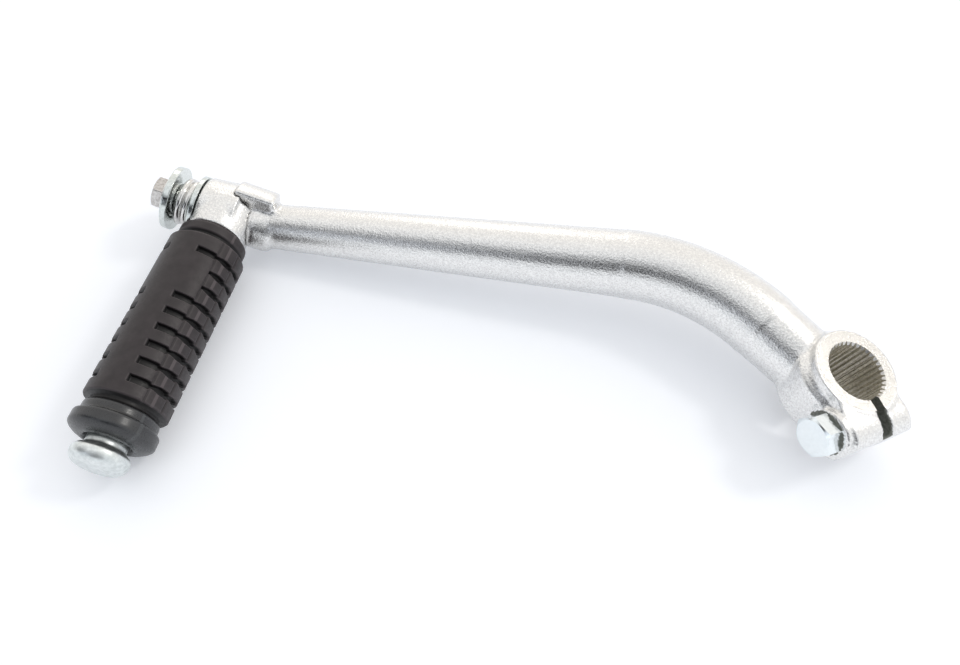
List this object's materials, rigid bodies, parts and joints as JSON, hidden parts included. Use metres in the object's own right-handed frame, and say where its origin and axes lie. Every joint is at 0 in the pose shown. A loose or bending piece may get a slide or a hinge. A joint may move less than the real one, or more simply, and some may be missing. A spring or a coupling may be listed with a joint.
{
  "type": "kick start lever",
  "caption": "Cranked steel kick start lever with a splined split clamp boss and a folding rubber-covered pedal.",
  "frame": {"origin": "on the axis of the splined bore, half way along the clamp boss", "axes": "+Z along the bore out of the rimmed face, where the kick shaft enters; +X along the pedal's pivot axis, from the pedal toward the boss; the folded pedal points along -Y and the extended pedal along -Z"},
  "size_m": [0.2388, 0.1109, 0.0765],
  "materials": {
    "plated_steel": "zinc plated over a forged skin, finely grained",
    "bright_plated_steel": "bright zinc plated, smooth",
    "spring_steel": "plated spring steel",
    "black_rubber": "moulded rubber, satin"
  },
  "bodies": {
    "lever": {"lever_arm": "plated_steel", "pinch_bolt": "bright_plated_steel", "thrust_washer": "bright_plated_steel", "detent_spring": "spring_steel", "retaining_washer": "bright_plated_steel", "lock_washer": "spring_steel", "pivot_bolt": "bright_plated_steel"},
    "pedal": {"pedal_core": "plated_steel", "pedal_rubber": "black_rubber"}
  },
  "joints": [
    {"name": "pedal_fold", "type": "hinge", "parent": "lever", "child": "pedal", "pos_m": [-0.1935, 0.023, -0.055], "axis": [1, 0, 0], "range_deg": [0, 90]}
  ]
}
